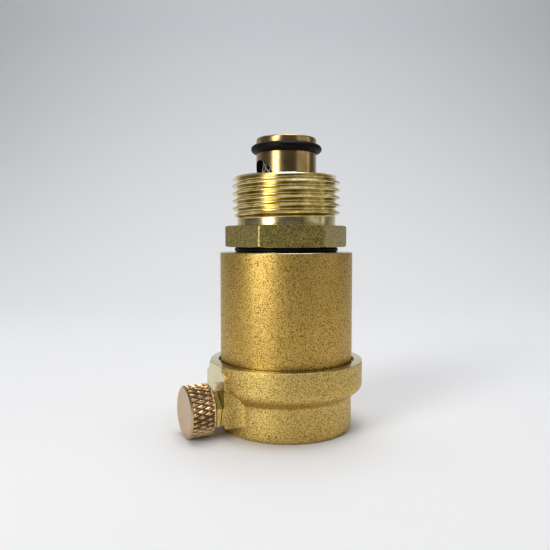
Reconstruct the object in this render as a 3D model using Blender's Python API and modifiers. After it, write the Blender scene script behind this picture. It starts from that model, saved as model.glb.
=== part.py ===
"""Automatic air vent: a brass float vent with an isolating check-valve fitting, standing on its cap.

Units are millimetres in the tables below and metres in Blender. +Z runs from the cap's flat face,
which is the origin, up through the chamber and out along the inlet thread.
"""

import math

import bmesh
import bpy
from mathutils import Matrix

MM = 0.001
CLEAR = 1.0  # how far a cutter runs past what it cuts

# Segments round a turned shape, by its size.
FINE = 48
MEDIUM = 40
COARSE = 24
SMALL = 16

# Cap: the foot, the step under the collar and the collar that takes the chamber.
FOOT_ROUND = 1.0
CAP_R = 16.168
STEP_Z = 8.25
COLLAR_Z = 10.45
COLLAR_R = 18.815
COLLAR_TOP = 16.939
COLLAR_EDGE = 0.2
COLLAR_LOW_ROUND = 1.0
STEP_ROUND = 0.2
CAP_FLOOR = 2.6
CAP_CAVITY_R = 13.6
CAP_LEDGE_Z = 9.2
CAP_BORE_R = 16.1
CAP_MOUTH_R = 16.8
CAP_MOUTH_Z = 15.75
CAP_MOUTH_LEAD = 0.4

# Vent outlet: a side boss with a machined flat, on an axis through the middle of the cap.
VENT_AZIMUTH = math.radians(205.789)
VENT_Z = 6.3
FLAT_X = 18.75
BOSS_HALF = 6.0
BOSS_LOW = 2.8
BOSS_HIGH = 15.0
TAB_HALF = 4.25
BOSS_BACK_X = 10.0
BOSS_CORNER = 1.2
BOSS_TOP_DROP = 0.02
OUTLET_R = 2.3
OUTLET_END_X = 12.6
CHANNEL_R = 0.9
BLOCK_X = (-11.4, 14.5)
BLOCK_HALF = 4.5
BLOCK_TOP = 8.4

# Vent knob and the nipple that guides it.
KNOB_R = 6.1
KNOB_X = (20.45, 26.56)
KNOB_EDGE = 0.45
KNOB_RIM = 0.95
KNOB_DISH = 0.15
SHANK_R = 1.5
SHANK_END_X = 12.85
TIP_R = 0.75
TIP_END_X = 11.7
NIPPLE_HEX_R = 4.7
NIPPLE_HEX_TURN = math.radians(12)
NIPPLE_R = 2.15
NIPPLE_BORE_R = 1.65
NIPPLE_SUNK = 0.1
NIPPLE_X = (14.5, 18.85, 20.15)

# Float chamber.
BODY_R = 16.26
BODY_TOP = 43.322
BODY_EDGE = 0.3
BODY_LOW_LEAD = 0.2
TAPPED_LEAD = (0.2, 0.3)
CHAMBER_R = 14.0
CHAMBER_CEILING = 34.0
SPIGOT_R = 15.9
SPIGOT_LOW = 10.75
STOP_TOP = 35.7
STOP_R = 6.4
TAPPED_R = 12.0

# Inlet fitting: hexagon, undercut and G 3/4 thread.
HEX_CORNER_R = 15.161
HEX_Z = (44.524, 49.713)
HEX_TURN = math.radians(4.483)
HEX_FACE_R = 14.5
HEX_CHAMFER = 0.3
THREAD_R = 13.2205
THREAD_PITCH = 1.814
THREAD_ROOT_R = 12.06
THREAD_FLANK = math.radians(27.5)
THREAD_CREST = 0.3
THREAD_START_Z = 51.2
THREAD_END_Z = 61.657
THREAD_PHASE_Z = 58.3
THREAD_FOOT = 0.7
THREAD_LEAD = (1.0, 0.8)
THREAD_RUN_OUT = 0.3
UNDERCUT_R = 11.9
UNDERCUT_LEAD = 0.4
FITTING_LOW = 36.2
FITTING_SPIGOT_R = 11.75
FITTING_RELIEF_R = 11.5
FITTING_RELIEF_Z = (42.3, 42.6)
FITTING_END_EDGE = 0.4
SPRING_BORE_R = 9.6
SHOULDER_Z = 53.0
GUIDE_R = 7.6
MOUTH_R = 8.857

# Check-valve plunger, carried in the fitting.
TUBE_R = 7.34
TUBE_BORE_R = 6.0
TUBE_LOW = 36.0
TUBE_CLOSED_Z = 66.3
TUBE_TOP = 70.972
TUBE_EDGE = 0.5
SEAL_GROOVE_Z = (67.28, 69.35)
SEAL_GROOVE_R = 6.5
SEAL_RING_R = 7.64
SEAL_RING_WIRE = 1.0
SEAL_RING_Z = 68.315
CLIP_GROOVE_Z = (37.15, 38.3)
CLIP_GROOVE_R = 6.9
CLIP_R = (7.05, 9.2)
CLIP_Z = (37.3, 38.15)
CLIP_OPENING = 5.0
WINDOW_R = 4.5
WINDOW_Z = 60.9
MESH_R = (5.6, 5.85)
MESH_Z = (50.5, 66.0)
RETAINER_R = (4.9, 5.85)
RETAINER_Z = (49.2, 50.3)
SPRING_R = 8.6
SPRING_WIRE_R = 0.45
SPRING_Z = (38.75, 52.45)
SPRING_TURNS = 8
SPRING_POINTS = 14

# Float, with the hook that takes the lever's end.
FLOAT_R = 12.3
FLOAT_WALL = 0.8
FLOAT_EDGE = 0.6
FLOAT_TOP = 28.5
FLOAT_LOW = 15.1
LID_TOP = 15.85
LID_SPIGOT_R = 11.3
LID_SPIGOT_TOP = 17.0
CUP_LOW = 15.95
HOOK_X = (6.4, 7.2)
HOOK_FOOT_X = 2.5
HOOK_HALF = 3.0
HOOK_Z = (9.8, 14.25, 15.0)
HOOK_WINDOW_HALF = 2.1
HOOK_WINDOW_Z = (10.8, 13.4)

# Lever, its bracket and the valve in the cap.
PIVOT_X = -6.0
PIVOT_Z = 11.9
PIN_R = 0.6
PIN_HOLE_R = 0.7
PIN_HALF = 3.3
PIN_HEAD_R = 1.0
PIN_HEAD = 0.5
PIN_HEAD_EDGE = 0.2
LEVER_END_X = 9.0
LEVER_HALF = 1.6
LEVER_THICK = 0.8
KNUCKLE_R = 1.2
KNUCKLE_HALF = 2.2
BRACKET_X = (-11.0, -3.4)
BRACKET_HALF = 4.2
BRACKET_Z = (8.55, 9.35)
EAR_X = (-7.6, -4.4)
EAR_Y = (2.4, 3.15)
EAR_TOP = 13.2
EAR_EDGE = 0.3
SCREW_X = -9.3
SCREW_Y = 2.5
SCREW_R = 0.75
SCREW_HEAD_R = 1.5
SCREW_Z = (6.5, 9.45, 10.4)
SCREW_HOLE_R = 0.9
SCREW_HOLE_LOW = 6.2
SCREW_HEAD_EDGE = 0.35
SCREW_SLOT = (0.2, 0.45)
SEAT_TIP_R = 1.0
SEAT_CONE_R = 1.5
SEAT_TOP_Z = 10.4
SEAT_FLANGE_R = 2.6
SEAT_FLANGE_Z = (8.6, 9.6)
SEAT_STEM_R = 1.7
SEAT_BORE_R = 0.45
SEAT_GAP = 0.2
SEAT_POCKET_R = 1.9
SEAT_POCKET_Z = 7.1
SEAT_HOLE_R = 0.65
PAD_R = 1.3
PAD_Z = (10.5, 11.1)
PAD_GAP = 0.1
HOLDER_R = 1.75
HOLDER_Z = (10.75, 11.15, 11.4)
RIVET_R = 0.6
RIVET_HOLE_R = 0.75
RIVET_HEAD_R = 1.1
RIVET_HEAD_Z = (12.4, 12.8)
RIVET_HEAD_EDGE = 0.2

# Seal rings.
CAP_SEAL = (14.95, 0.7, 9.95)
FITTING_SEAL = (12.2, 0.54, 43.923)
KNOB_SEAL = (1.2, 0.4, 12.35)


def clear_scene():
    for obj in list(bpy.data.objects):
        bpy.data.objects.remove(obj, do_unlink=True)


def new_collection(name):
    collection = bpy.data.collections.new(name)
    bpy.context.scene.collection.children.link(collection)
    return collection


def material(name, colour, roughness, metallic):
    made = bpy.data.materials.new(name)
    made.use_nodes = True
    shader = made.node_tree.nodes["Principled BSDF"]
    shader.inputs["Base Color"].default_value = (*colour, 1.0)
    shader.inputs["Roughness"].default_value = roughness
    shader.inputs["Metallic"].default_value = metallic
    return made


def place(obj, look=None, parent=None, location=(0, 0, 0), rotation=(0, 0, 0)):
    """Puts an object in the part's collection, or in the cutters' if it has no material."""
    (PARTS if look else CUTTERS).objects.link(obj)
    if look:
        obj.data.materials.append(look)
    else:
        obj.hide_render = True
        obj.display_type = "WIRE"
    obj.parent = parent
    obj.location = [v * MM for v in location]
    obj.rotation_euler = rotation
    return obj


def mesh_object(name, bm):
    mesh = bpy.data.meshes.new(name)
    bm.to_mesh(mesh)
    bm.free()
    return bpy.data.objects.new(name, mesh)


def turned(name, profile, look=None, segments=FINE, **where):
    """A turned solid: (radius, height) points down the outer side, and back up the inner one."""
    bm = bmesh.new()
    points = [bm.verts.new((r * MM, 0, z * MM)) for r, z in profile]
    for a, b in zip(points, points[1:]):
        bm.edges.new((a, b))
    if profile[0][0] > 0:
        bm.edges.new((points[-1], points[0]))
    obj = mesh_object(name, bm)
    screw = obj.modifiers.new("turn", "SCREW")
    screw.steps = segments
    screw.render_steps = segments
    screw.use_merge_vertices = True
    screw.merge_threshold = 0.00001
    screw.use_smooth_shade = True
    place(obj, look, **where)
    return obj


def box(name, low, high, look=None, bevel=0.0, **where):
    bm = bmesh.new()
    bmesh.ops.create_cube(bm, size=1.0)
    size = [(b - a) * MM for a, b in zip(low, high)]
    middle = [(a + b) / 2 * MM for a, b in zip(low, high)]
    bmesh.ops.transform(bm, matrix=Matrix.Translation(middle) @ Matrix.Diagonal((*size, 1)), verts=bm.verts)
    obj = mesh_object(name, bm)
    if bevel:
        edge = obj.modifiers.new("edge", "BEVEL")
        edge.width = bevel * MM
        edge.segments = 2
    return place(obj, look, **where)


def plate(name, outline, thickness, look=None, **where):
    """A flat outline in the object's XY plane, filled and thickened upwards from Z = 0."""
    curve = bpy.data.curves.new(name, "CURVE")
    curve.dimensions = "2D"
    curve.fill_mode = "BOTH"
    curve.extrude = thickness / 2 * MM
    line = curve.splines.new("POLY")
    line.points.add(len(outline) - 1)
    for point, (x, y) in zip(line.points, outline):
        point.co = (x * MM, y * MM, 0, 1)
    line.use_cyclic_u = True
    drawn = bpy.data.objects.new(name, curve)
    bpy.context.scene.collection.objects.link(drawn)
    graph = bpy.context.evaluated_depsgraph_get()
    mesh = bpy.data.meshes.new_from_object(drawn.evaluated_get(graph))
    bpy.data.objects.remove(drawn)
    bm = bmesh.new()
    bm.from_mesh(mesh)
    bpy.data.meshes.remove(mesh)
    bmesh.ops.remove_doubles(bm, verts=bm.verts, dist=0.000001)
    bmesh.ops.translate(bm, vec=(0, 0, thickness / 2 * MM), verts=bm.verts)
    return place(mesh_object(name, bm), look, **where)


def rod(name, radius, low, high, look=None, segments=SMALL, **where):
    """A plain round bar along the object's Z axis."""
    bm = bmesh.new()
    size = {"radius1": radius * MM, "radius2": radius * MM, "depth": (high - low) * MM}
    bmesh.ops.create_cone(bm, cap_ends=True, segments=segments, **size)
    bmesh.ops.translate(bm, vec=(0, 0, (low + high) / 2 * MM), verts=bm.verts)
    return place(mesh_object(name, bm), look, **where)


def ring(name, size, look, segments, around=10, **where):
    """A round-section seal ring: (middle radius, section radius, height)."""
    middle, section, height = size
    turns = [2 * math.pi * i / around for i in range(around)]
    profile = [(middle + section * math.cos(t), height - section * math.sin(t)) for t in turns]
    return turned(name, profile, look, segments, **where)


def combine(obj, other, operation):
    change = obj.modifiers.new(other.name, "BOOLEAN")
    change.operation = operation
    change.object = other


def arc(centre_r, centre_z, radius, start, end, steps):
    angles = [math.radians(start + (end - start) * i / steps) for i in range(steps + 1)]
    return [(centre_r + radius * math.cos(a), centre_z + radius * math.sin(a)) for a in angles]


def make_cap(look):
    outside = [(0, COLLAR_TOP), (COLLAR_R - COLLAR_EDGE, COLLAR_TOP), (COLLAR_R, COLLAR_TOP - COLLAR_EDGE)]
    outside += arc(COLLAR_R - COLLAR_LOW_ROUND, COLLAR_Z + 0.4, COLLAR_LOW_ROUND, 0, -50, 4)
    outside += [(CAP_R + STEP_ROUND, STEP_Z + STEP_ROUND), (CAP_R, STEP_Z - STEP_ROUND)]
    outside += arc(CAP_R - FOOT_ROUND, FOOT_ROUND, FOOT_ROUND, 0, -90, 4)
    outside += [(0, 0)]
    cap = turned("vent_cap", outside, look)
    top = COLLAR_TOP - BOSS_TOP_DROP
    half = arc(BOSS_HALF - BOSS_CORNER, BOSS_LOW + BOSS_CORNER, BOSS_CORNER, -90, 0, 4)
    half += [(BOSS_HALF, BOSS_HIGH), (TAB_HALF, BOSS_HIGH), (TAB_HALF, top)]
    outline = half + [(-y, z) for y, z in reversed(half)]
    boss = plate(
        "boss",
        [(-z, y) for y, z in outline],
        FLAT_X - BOSS_BACK_X,
        parent=VENT_FRAME,
        location=(BOSS_BACK_X, 0, 0),
        rotation=(0, math.pi / 2, 0),
    )
    inside = [(0, COLLAR_TOP + CLEAR), (CAP_MOUTH_R, COLLAR_TOP + CLEAR), (CAP_MOUTH_R, CAP_MOUTH_Z)]
    inside += [(CAP_BORE_R, CAP_MOUTH_Z - CAP_MOUTH_LEAD), (CAP_BORE_R, CAP_LEDGE_Z)]
    inside += [(CAP_CAVITY_R, CAP_LEDGE_Z), (CAP_CAVITY_R, CAP_FLOOR), (0, CAP_FLOOR)]
    hollow = turned("cap_hollow", inside)
    block = box(
        "valve_block",
        (BLOCK_X[0], -BLOCK_HALF, CAP_FLOOR - 0.5),
        (BLOCK_X[1], BLOCK_HALF, BLOCK_TOP),
        parent=VENT_FRAME,
    )
    outlet = [(0, FLAT_X + CLEAR), (OUTLET_R, FLAT_X + CLEAR), (OUTLET_R, OUTLET_END_X)]
    outlet += [(CHANNEL_R, OUTLET_END_X - OUTLET_R + CHANNEL_R), (CHANNEL_R, -CHANNEL_R), (0, -CHANNEL_R)]
    bore = turned("outlet_bore", outlet, segments=SMALL, parent=VENT_AXIS)
    pocket = [(0, BLOCK_TOP + CLEAR), (SEAT_POCKET_R, BLOCK_TOP + CLEAR), (SEAT_POCKET_R, SEAT_POCKET_Z)]
    pocket += [(SEAT_HOLE_R, SEAT_POCKET_Z), (SEAT_HOLE_R, VENT_Z), (0, VENT_Z)]
    seat_hole = turned("seat_pocket", pocket, segments=SMALL, parent=VENT_FRAME)
    combine(cap, boss, "UNION")
    combine(cap, hollow, "DIFFERENCE")
    combine(cap, block, "UNION")
    combine(cap, bore, "DIFFERENCE")
    combine(cap, seat_hole, "DIFFERENCE")
    for side in (-1, 1):
        hole = rod(
            f"screw_hole_{side}",
            SCREW_HOLE_R,
            SCREW_HOLE_LOW,
            BLOCK_TOP + CLEAR,
            parent=VENT_FRAME,
            location=(SCREW_X, side * SCREW_Y, 0),
        )
        combine(cap, hole, "DIFFERENCE")


def make_valve_seat(look):
    stem_low = SEAT_POCKET_Z + SEAT_GAP
    profile = [(SEAT_TIP_R, SEAT_TOP_Z), (SEAT_CONE_R, SEAT_FLANGE_Z[1]), (SEAT_FLANGE_R, SEAT_FLANGE_Z[1])]
    profile += [(SEAT_FLANGE_R, SEAT_FLANGE_Z[0]), (SEAT_STEM_R, SEAT_FLANGE_Z[0]), (SEAT_STEM_R, stem_low)]
    profile += [(SEAT_BORE_R, stem_low), (SEAT_BORE_R, SEAT_TOP_Z)]
    turned("valve_seat", profile, look, SMALL, parent=VENT_FRAME)


def make_bracket(look):
    low, high = BRACKET_Z
    bracket = box(
        "lever_bracket",
        (BRACKET_X[0], -BRACKET_HALF, low),
        (BRACKET_X[1], BRACKET_HALF, high),
        look,
        parent=VENT_FRAME,
    )
    for side in (-1, 1):
        near, far = sorted((side * EAR_Y[0], side * EAR_Y[1]))
        ear = box(
            f"bracket_ear_{side}",
            (EAR_X[0], near, (low + high) / 2),
            (EAR_X[1], far, EAR_TOP),
            bevel=EAR_EDGE,
            parent=VENT_FRAME,
        )
        combine(bracket, ear, "UNION")
        hole = rod(
            f"bracket_hole_{side}",
            SCREW_HOLE_R,
            low - CLEAR,
            high + CLEAR,
            parent=VENT_FRAME,
            location=(SCREW_X, side * SCREW_Y, 0),
        )
        combine(bracket, hole, "DIFFERENCE")
    pin_hole = rod("bracket_pin_hole", PIN_HOLE_R, -BRACKET_HALF, BRACKET_HALF, parent=PIVOT)
    combine(bracket, pin_hole, "DIFFERENCE")


def make_bracket_screws(look):
    low, seat, top = SCREW_Z
    for number, side in ((1, -1), (2, 1)):
        profile = [(0, top), (SCREW_HEAD_R - SCREW_HEAD_EDGE, top), (SCREW_HEAD_R, top - SCREW_HEAD_EDGE)]
        profile += [(SCREW_HEAD_R, seat)]
        profile += [(SCREW_R, seat), (SCREW_R, low), (0, low)]
        where = {"parent": VENT_FRAME, "location": (SCREW_X, side * SCREW_Y, 0)}
        screw = turned(f"bracket_screw_{number}", profile, look, SMALL, **where)
        half, depth = SCREW_SLOT
        across = SCREW_HEAD_R + CLEAR
        corners = ((-across, -half, top - depth), (across, half, top + CLEAR))
        slot = box(f"screw_slot_{number}", *corners, **where)
        combine(screw, slot, "DIFFERENCE")


def make_lever_pin(look):
    end = PIN_HALF + PIN_HEAD
    profile = [(0, end), (PIN_HEAD_R - PIN_HEAD_EDGE, end), (PIN_HEAD_R, end - PIN_HEAD_EDGE)]
    profile += [(PIN_HEAD_R, PIN_HALF), (PIN_R, PIN_HALF), (PIN_R, -end), (0, -end)]
    turned("lever_pin", profile, look, SMALL, parent=PIVOT)


def make_nipple(look):
    inner, face, outer = NIPPLE_X
    end = outer - NIPPLE_SUNK
    profile = [(NIPPLE_R, end), (NIPPLE_R, inner), (NIPPLE_BORE_R, inner), (NIPPLE_BORE_R, end)]
    nipple = turned("vent_nipple", profile, look, COARSE, parent=VENT_AXIS)
    hexagon = rod(
        "nipple_hexagon",
        NIPPLE_HEX_R,
        face,
        outer,
        segments=6,
        parent=VENT_AXIS,
        rotation=(0, 0, NIPPLE_HEX_TURN),
    )
    wall_middle = (NIPPLE_R + NIPPLE_BORE_R) / 2
    bore = rod("nipple_hexagon_bore", wall_middle, face - CLEAR, outer + CLEAR, parent=VENT_AXIS)
    combine(hexagon, bore, "DIFFERENCE")
    combine(nipple, hexagon, "UNION")


def make_knob(look):
    back, front = KNOB_X
    dish = KNOB_R - KNOB_RIM
    profile = [(0, front - KNOB_DISH), (dish - KNOB_DISH, front - KNOB_DISH), (dish, front)]
    profile += [(KNOB_R - KNOB_EDGE, front)]
    profile += [(KNOB_R, front - KNOB_EDGE), (KNOB_R, back + KNOB_EDGE), (KNOB_R - KNOB_EDGE, back)]
    profile += [(SHANK_R, back), (SHANK_R, SHANK_END_X)]
    profile += [(TIP_R, SHANK_END_X), (TIP_R, TIP_END_X), (0, TIP_END_X)]
    turned("vent_knob", profile, look, COARSE, parent=VENT_AXIS)


def make_chamber(look):
    profile = [(BODY_R - BODY_EDGE, BODY_TOP), (BODY_R, BODY_TOP - BODY_EDGE)]
    profile += [(BODY_R, CAP_MOUTH_Z + BODY_LOW_LEAD), (SPIGOT_R, CAP_MOUTH_Z)]
    profile += [(SPIGOT_R, SPIGOT_LOW), (CHAMBER_R, SPIGOT_LOW)]
    profile += [(CHAMBER_R, CHAMBER_CEILING), (STOP_R, CHAMBER_CEILING), (STOP_R, STOP_TOP)]
    profile += [(TAPPED_R, STOP_TOP), (TAPPED_R, BODY_TOP - TAPPED_LEAD[1])]
    profile += [(TAPPED_R + TAPPED_LEAD[0], BODY_TOP)]
    turned("float_chamber", profile, look)


def make_thread():
    """The male thread's helical ridge, trimmed at both ends, as a solid to join to the fitting."""
    foot_r = THREAD_ROOT_R - THREAD_FOOT
    root_half = THREAD_CREST / 2 + (THREAD_R - THREAD_ROOT_R) * math.tan(THREAD_FLANK)
    turns = math.ceil((THREAD_END_Z - THREAD_START_Z) / THREAD_PITCH) + 2
    start_z = THREAD_PHASE_Z - THREAD_PITCH * math.ceil((THREAD_PHASE_Z - THREAD_START_Z) / THREAD_PITCH + 1)
    upper = [(foot_r, root_half), (THREAD_ROOT_R, root_half), (THREAD_R, THREAD_CREST / 2)]
    outline = upper + [(r, -z) for r, z in reversed(upper)]
    bm = bmesh.new()
    points = [bm.verts.new((r * MM, 0, (start_z + z) * MM)) for r, z in outline]
    edges = [bm.edges.new((a, b)) for a, b in zip(points, points[1:] + points[:1])]
    bmesh.ops.spin(
        bm,
        geom=points + edges,
        axis=(0, 0, 1),
        cent=(0, 0, 0),
        dvec=(0, 0, THREAD_PITCH / COARSE * MM),
        angle=2 * math.pi * turns,
        steps=COARSE * turns,
    )
    bmesh.ops.holes_fill(bm, edges=[e for e in bm.edges if e.is_boundary], sides=len(outline))
    bmesh.ops.recalc_face_normals(bm, faces=bm.faces)
    thread = place(mesh_object("thread_ridge", bm))
    lead = THREAD_R - THREAD_ROOT_R
    low = THREAD_START_Z - THREAD_RUN_OUT
    envelope = [(0, THREAD_END_Z), (THREAD_R - THREAD_LEAD[0], THREAD_END_Z)]
    envelope += [(THREAD_R, THREAD_END_Z - THREAD_LEAD[1]), (THREAD_R, THREAD_START_Z + lead)]
    envelope += [(THREAD_ROOT_R - THREAD_RUN_OUT, low), (0, low)]
    combine(thread, turned("thread_envelope", envelope), "INTERSECT")
    return thread


def make_hexagon():
    low, high = HEX_Z
    hexagon = rod("hexagon", HEX_CORNER_R, low, high, segments=6, rotation=(0, 0, HEX_TURN + math.pi / 6))
    outer = HEX_CORNER_R + 0.1
    lens = [(0, high), (HEX_FACE_R, high), (outer, high - HEX_CHAMFER), (outer, low + HEX_CHAMFER)]
    lens += [(HEX_FACE_R, low), (0, low)]
    combine(hexagon, turned("hexagon_chamfer", lens), "INTERSECT")
    bore = rod("hexagon_bore", (UNDERCUT_R + SPRING_BORE_R) / 2, low - CLEAR, high + CLEAR, segments=FINE)
    combine(hexagon, bore, "DIFFERENCE")
    return hexagon


def make_fitting(look):
    undercut_low = HEX_Z[0] + UNDERCUT_R - FITTING_RELIEF_R
    profile = [(THREAD_ROOT_R - FITTING_END_EDGE, THREAD_END_Z)]
    profile += [(THREAD_ROOT_R, THREAD_END_Z - FITTING_END_EDGE), (THREAD_ROOT_R, THREAD_START_Z)]
    profile += [(UNDERCUT_R, THREAD_START_Z - UNDERCUT_LEAD), (UNDERCUT_R, undercut_low + 0.5)]
    profile += [(FITTING_RELIEF_R, undercut_low), (FITTING_RELIEF_R, FITTING_RELIEF_Z[1])]
    profile += [(FITTING_SPIGOT_R, FITTING_RELIEF_Z[0])]
    profile += [(FITTING_SPIGOT_R, FITTING_LOW), (SPRING_BORE_R, FITTING_LOW), (SPRING_BORE_R, SHOULDER_Z)]
    profile += [(GUIDE_R, SHOULDER_Z), (GUIDE_R, THREAD_END_Z - MOUTH_R + GUIDE_R), (MOUTH_R, THREAD_END_Z)]
    fitting = turned("inlet_fitting", profile, look)
    combine(fitting, make_hexagon(), "UNION")
    combine(fitting, make_thread(), "UNION")


def make_plunger(look):
    low, high = SEAL_GROOVE_Z
    profile = [(0, TUBE_TOP)]
    profile += arc(TUBE_R - TUBE_EDGE, TUBE_TOP - TUBE_EDGE, TUBE_EDGE, 90, 0, 3)
    profile += [(TUBE_R, high), (SEAL_GROOVE_R, high), (SEAL_GROOVE_R, low), (TUBE_R, low)]
    low, high = CLIP_GROOVE_Z
    profile += [(TUBE_R, high), (CLIP_GROOVE_R, high), (CLIP_GROOVE_R, low)]
    profile += [(TUBE_R, low), (TUBE_R, TUBE_LOW), (TUBE_BORE_R, TUBE_LOW)]
    profile += [(TUBE_BORE_R, TUBE_CLOSED_Z), (0, TUBE_CLOSED_Z)]
    plunger = turned("plunger_tube", profile, look, MEDIUM)
    window = rod(
        "plunger_window",
        WINDOW_R,
        -2 * TUBE_R,
        2 * TUBE_R,
        segments=COARSE,
        parent=VENT_FRAME,
        location=(0, 0, WINDOW_Z),
        rotation=(0, math.pi / 2, 0),
    )
    combine(plunger, window, "DIFFERENCE")


def make_clip(look):
    (inner, outer), (low, high) = CLIP_R, CLIP_Z
    clip = turned("plunger_clip", [(outer, high), (outer, low), (inner, low), (inner, high)], look, COARSE)
    half = CLIP_OPENING / 2
    opening = box("clip_opening", (0, -half, low - CLEAR), (outer + CLEAR, half, high + CLEAR))
    combine(clip, opening, "DIFFERENCE")


def make_spring(look):
    low, high = SPRING_Z
    curve = bpy.data.curves.new("plunger_spring", "CURVE")
    curve.dimensions = "3D"
    curve.bevel_depth = SPRING_WIRE_R * MM
    curve.bevel_resolution = 2
    curve.use_fill_caps = True
    line = curve.splines.new("POLY")
    count = SPRING_TURNS * SPRING_POINTS
    line.points.add(count)
    for i in range(count + 1):
        turn = 2 * math.pi * i / SPRING_POINTS
        height = low + (high - low) * i / count
        line.points[i].co = (SPRING_R * math.cos(turn) * MM, SPRING_R * math.sin(turn) * MM, height * MM, 1)
    place(bpy.data.objects.new("plunger_spring", curve), look)


def make_filter(mesh_look, retainer_look):
    for name, radii, heights, look in (
        ("filter_mesh", MESH_R, MESH_Z, mesh_look),
        ("mesh_retainer", RETAINER_R, RETAINER_Z, retainer_look),
    ):
        (inner, outer), (low, high) = radii, heights
        turned(name, [(outer, high), (outer, low), (inner, low), (inner, high)], look, COARSE)


def make_float(look):
    inner = FLOAT_R - FLOAT_WALL
    cup = [(0, FLOAT_TOP), (FLOAT_R - FLOAT_EDGE, FLOAT_TOP), (FLOAT_R, FLOAT_TOP - FLOAT_EDGE)]
    cup += [(FLOAT_R, CUP_LOW), (inner, CUP_LOW)]
    cup += [(inner, FLOAT_TOP - FLOAT_WALL), (0, FLOAT_TOP - FLOAT_WALL)]
    turned("float_cup", cup, look)
    lid = [(0, LID_SPIGOT_TOP), (LID_SPIGOT_R, LID_SPIGOT_TOP), (LID_SPIGOT_R, LID_TOP), (FLOAT_R, LID_TOP)]
    lid += [(FLOAT_R, FLOAT_LOW), (0, FLOAT_LOW)]
    turned("float_lid", lid, look)


def make_float_hook(look):
    low, foot, top = HOOK_Z
    hook = box(
        "float_hook", (HOOK_X[0], -HOOK_HALF, low), (HOOK_X[1], HOOK_HALF, top), look, parent=VENT_FRAME
    )
    corners = ((HOOK_FOOT_X, -HOOK_HALF, foot), (sum(HOOK_X) / 2, HOOK_HALF, top - 0.01))
    flange = box("hook_flange", *corners, parent=VENT_FRAME)
    window = box(
        "hook_window",
        (HOOK_X[0] - CLEAR, -HOOK_WINDOW_HALF, HOOK_WINDOW_Z[0]),
        (HOOK_X[1] + CLEAR, HOOK_WINDOW_HALF, HOOK_WINDOW_Z[1]),
        parent=VENT_FRAME,
    )
    combine(hook, flange, "UNION")
    combine(hook, window, "DIFFERENCE")


def make_lever(look):
    arm = box(
        "lever_arm",
        (0, -LEVER_HALF, -LEVER_THICK / 2),
        (LEVER_END_X - PIVOT_X, LEVER_HALF, LEVER_THICK / 2),
        look,
        parent=LEVER_FRAME,
    )
    knuckle = rod("lever_knuckle", KNUCKLE_R, -KNUCKLE_HALF, KNUCKLE_HALF, parent=PIVOT)
    pin_hole = rod("lever_pin_hole", PIN_HOLE_R, -BRACKET_HALF, BRACKET_HALF, parent=PIVOT)
    where = {"parent": LEVER_FRAME, "location": (-PIVOT_X, 0, 0)}
    rivet_hole = rod("lever_rivet_hole", RIVET_HOLE_R, -LEVER_THICK, LEVER_THICK, **where)
    combine(arm, knuckle, "UNION")
    combine(arm, pin_hole, "DIFFERENCE")
    combine(arm, rivet_hole, "DIFFERENCE")


def make_pad(rubber, metal):
    where = {"parent": LEVER_FRAME, "location": (-PIVOT_X, 0, -PIVOT_Z)}
    rod("valve_pad", PAD_R, *PAD_Z, rubber, **where)
    low, recess, top = HOLDER_Z
    head_low, head_top = RIVET_HEAD_Z
    recess_r = PAD_R + PAD_GAP
    holder = [(0, head_top), (RIVET_HEAD_R - RIVET_HEAD_EDGE, head_top), (RIVET_HEAD_R, head_low)]
    holder += [(RIVET_R, head_low), (RIVET_R, top), (HOLDER_R, top), (HOLDER_R, low)]
    holder += [(recess_r, low), (recess_r, recess)]
    holder += [(0, recess)]
    turned("pad_holder", holder, metal, SMALL, **where)


def make_parts():
    blasted = material("blasted_brass", (0.60, 0.42, 0.12), 0.5, 1.0)
    bright = material("machined_brass", (0.86, 0.66, 0.24), 0.2, 1.0)
    pink = material("knurled_brass", (0.78, 0.55, 0.38), 0.3, 1.0)
    copper = material("turned_copper_alloy", (0.45, 0.22, 0.10), 0.2, 1.0)
    rubber = material("black_rubber", (0.015, 0.015, 0.016), 0.5, 0.0)
    steel = material("stainless_steel", (0.62, 0.62, 0.62), 0.25, 1.0)
    plastic = material("float_plastic", (0.85, 0.85, 0.82), 0.4, 0.0)
    make_cap(blasted)
    make_valve_seat(bright)
    make_bracket(steel)
    make_bracket_screws(steel)
    make_lever_pin(steel)
    make_nipple(bright)
    make_knob(pink)
    make_chamber(blasted)
    make_fitting(bright)
    make_plunger(copper)
    make_clip(steel)
    make_spring(steel)
    make_filter(steel, plastic)
    make_float(plastic)
    make_float_hook(steel)
    make_lever(steel)
    make_pad(rubber, steel)
    ring("cap_seal_ring", CAP_SEAL, rubber, FINE)
    ring("fitting_seal_ring", FITTING_SEAL, rubber, FINE)
    ring("plunger_seal_ring", (SEAL_RING_R, SEAL_RING_WIRE, SEAL_RING_Z), rubber, MEDIUM)
    ring("knob_seal", KNOB_SEAL, rubber, SMALL, parent=VENT_AXIS)


def make_empty(name, parent=None, location=(0, 0, 0), rotation=(0, 0, 0)):
    empty = bpy.data.objects.new(name, None)
    PARTS.objects.link(empty)
    empty.parent = parent
    empty.location = [v * MM for v in location]
    empty.rotation_euler = rotation
    return empty


clear_scene()
PARTS = new_collection("automatic_air_vent")
CUTTERS = new_collection("cutters")
# The vent frame's X axis runs out through the boss; the vent axis's Z axis is the knob's own axis.
VENT_FRAME = make_empty("vent_frame", rotation=(0, 0, VENT_AZIMUTH))
VENT_AXIS = make_empty("vent_axis", VENT_FRAME, (0, 0, VENT_Z), (0, math.pi / 2, 0))
# The lever frame sits on the lever's pivot; the pivot's Z axis is the pin's own axis.
LEVER_FRAME = make_empty("lever_frame", VENT_FRAME, (PIVOT_X, 0, PIVOT_Z))
PIVOT = make_empty("lever_pivot", LEVER_FRAME, rotation=(math.pi / 2, 0, 0))
make_parts()
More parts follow.
